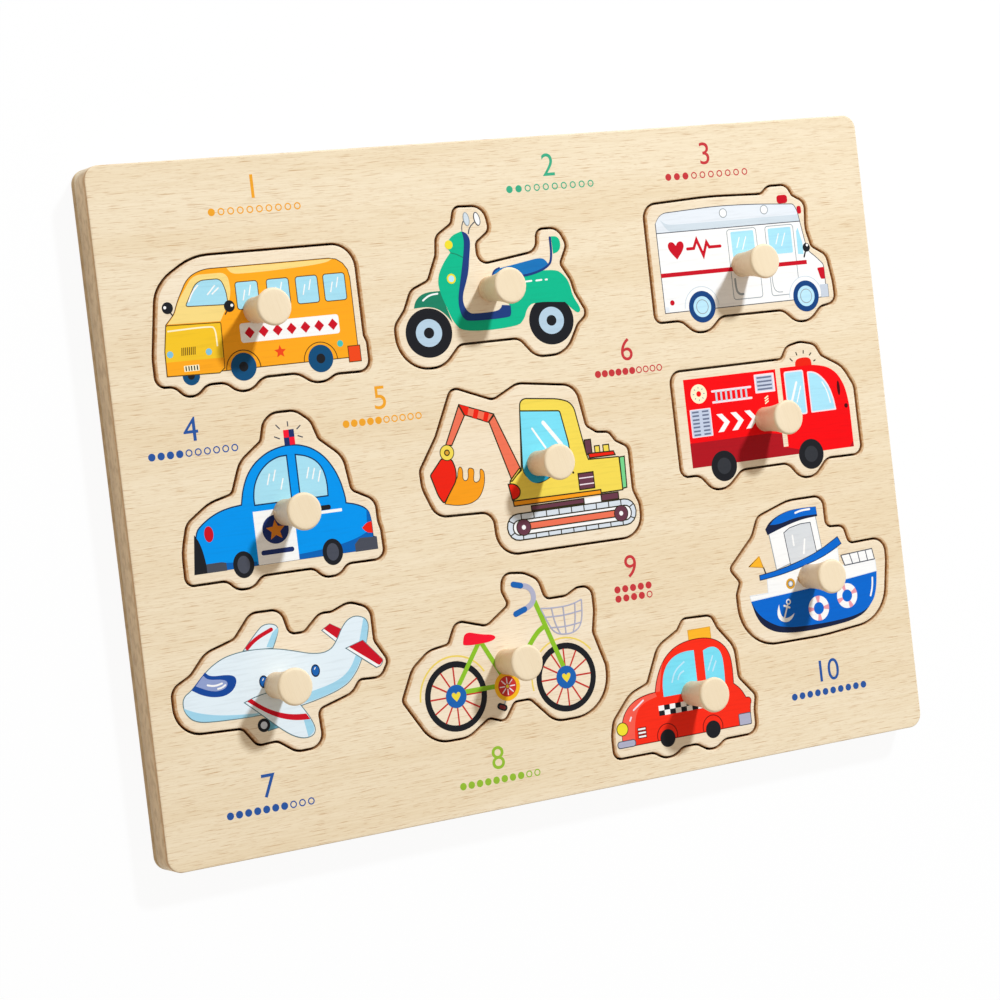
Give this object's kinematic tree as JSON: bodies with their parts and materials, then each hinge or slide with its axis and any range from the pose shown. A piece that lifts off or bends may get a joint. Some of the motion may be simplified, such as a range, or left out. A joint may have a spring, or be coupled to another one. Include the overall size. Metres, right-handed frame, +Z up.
{
  "type": "peg puzzle",
  "caption": "Flat wooden board with vehicle-shaped openings, each holding a matching printed plate that lifts out by a turned wooden peg.",
  "frame": {"origin": "on the underside of the backing sheet, under the middle of the board", "axes": "+X along the board's length, +Y along its width towards the top row, +Z up out of the printed face along the pegs"},
  "size_m": [0.3, 0.225, 0.027],
  "materials": {
    "tray_beech": "sanded, thinly varnished pale beech with laser-browned edges",
    "backing_beech": "sanded pale beech ply",
    "plate_beech": "sanded pale beech, screen printed in flat colours",
    "peg_beech": "turned and sanded pale beech, satin"
  },
  "bodies": {
    "board": {"back_board": "backing_beech", "tray_board": "tray_beech"},
    "school_bus": {"school_bus_plate": "plate_beech", "school_bus_peg": "peg_beech"},
    "scooter": {"scooter_plate": "plate_beech", "scooter_peg": "peg_beech"},
    "ambulance": {"ambulance_plate": "plate_beech", "ambulance_peg": "peg_beech"},
    "police_car": {"police_car_plate": "plate_beech", "police_car_peg": "peg_beech"},
    "excavator": {"excavator_plate": "plate_beech", "excavator_peg": "peg_beech"},
    "fire_truck": {"fire_truck_plate": "plate_beech", "fire_truck_peg": "peg_beech"},
    "ship": {"ship_plate": "plate_beech", "ship_peg": "peg_beech"},
    "airplane": {"airplane_plate": "plate_beech", "airplane_peg": "peg_beech"},
    "bicycle": {"bicycle_plate": "plate_beech", "bicycle_peg": "peg_beech"},
    "taxi": {"taxi_plate": "plate_beech", "taxi_peg": "peg_beech"}
  },
  "joints": [
    {"name": "school_bus_lift", "type": "slide", "parent": "board", "child": "school_bus", "axis": [0, 0, 1], "range_m": [0, 0.03]},
    {"name": "scooter_lift", "type": "slide", "parent": "board", "child": "scooter", "axis": [0, 0, 1], "range_m": [0, 0.03]},
    {"name": "ambulance_lift", "type": "slide", "parent": "board", "child": "ambulance", "axis": [0, 0, 1], "range_m": [0, 0.03]},
    {"name": "police_car_lift", "type": "slide", "parent": "board", "child": "police_car", "axis": [0, 0, 1], "range_m": [0, 0.03]},
    {"name": "excavator_lift", "type": "slide", "parent": "board", "child": "excavator", "axis": [0, 0, 1], "range_m": [0, 0.03]},
    {"name": "fire_truck_lift", "type": "slide", "parent": "board", "child": "fire_truck", "axis": [0, 0, 1], "range_m": [0, 0.03]},
    {"name": "ship_lift", "type": "slide", "parent": "board", "child": "ship", "axis": [0, 0, 1], "range_m": [0, 0.03]},
    {"name": "airplane_lift", "type": "slide", "parent": "board", "child": "airplane", "axis": [0, 0, 1], "range_m": [0, 0.03]},
    {"name": "bicycle_lift", "type": "slide", "parent": "board", "child": "bicycle", "axis": [0, 0, 1], "range_m": [0, 0.03]},
    {"name": "taxi_lift", "type": "slide", "parent": "board", "child": "taxi", "axis": [0, 0, 1], "range_m": [0, 0.03]}
  ]
}
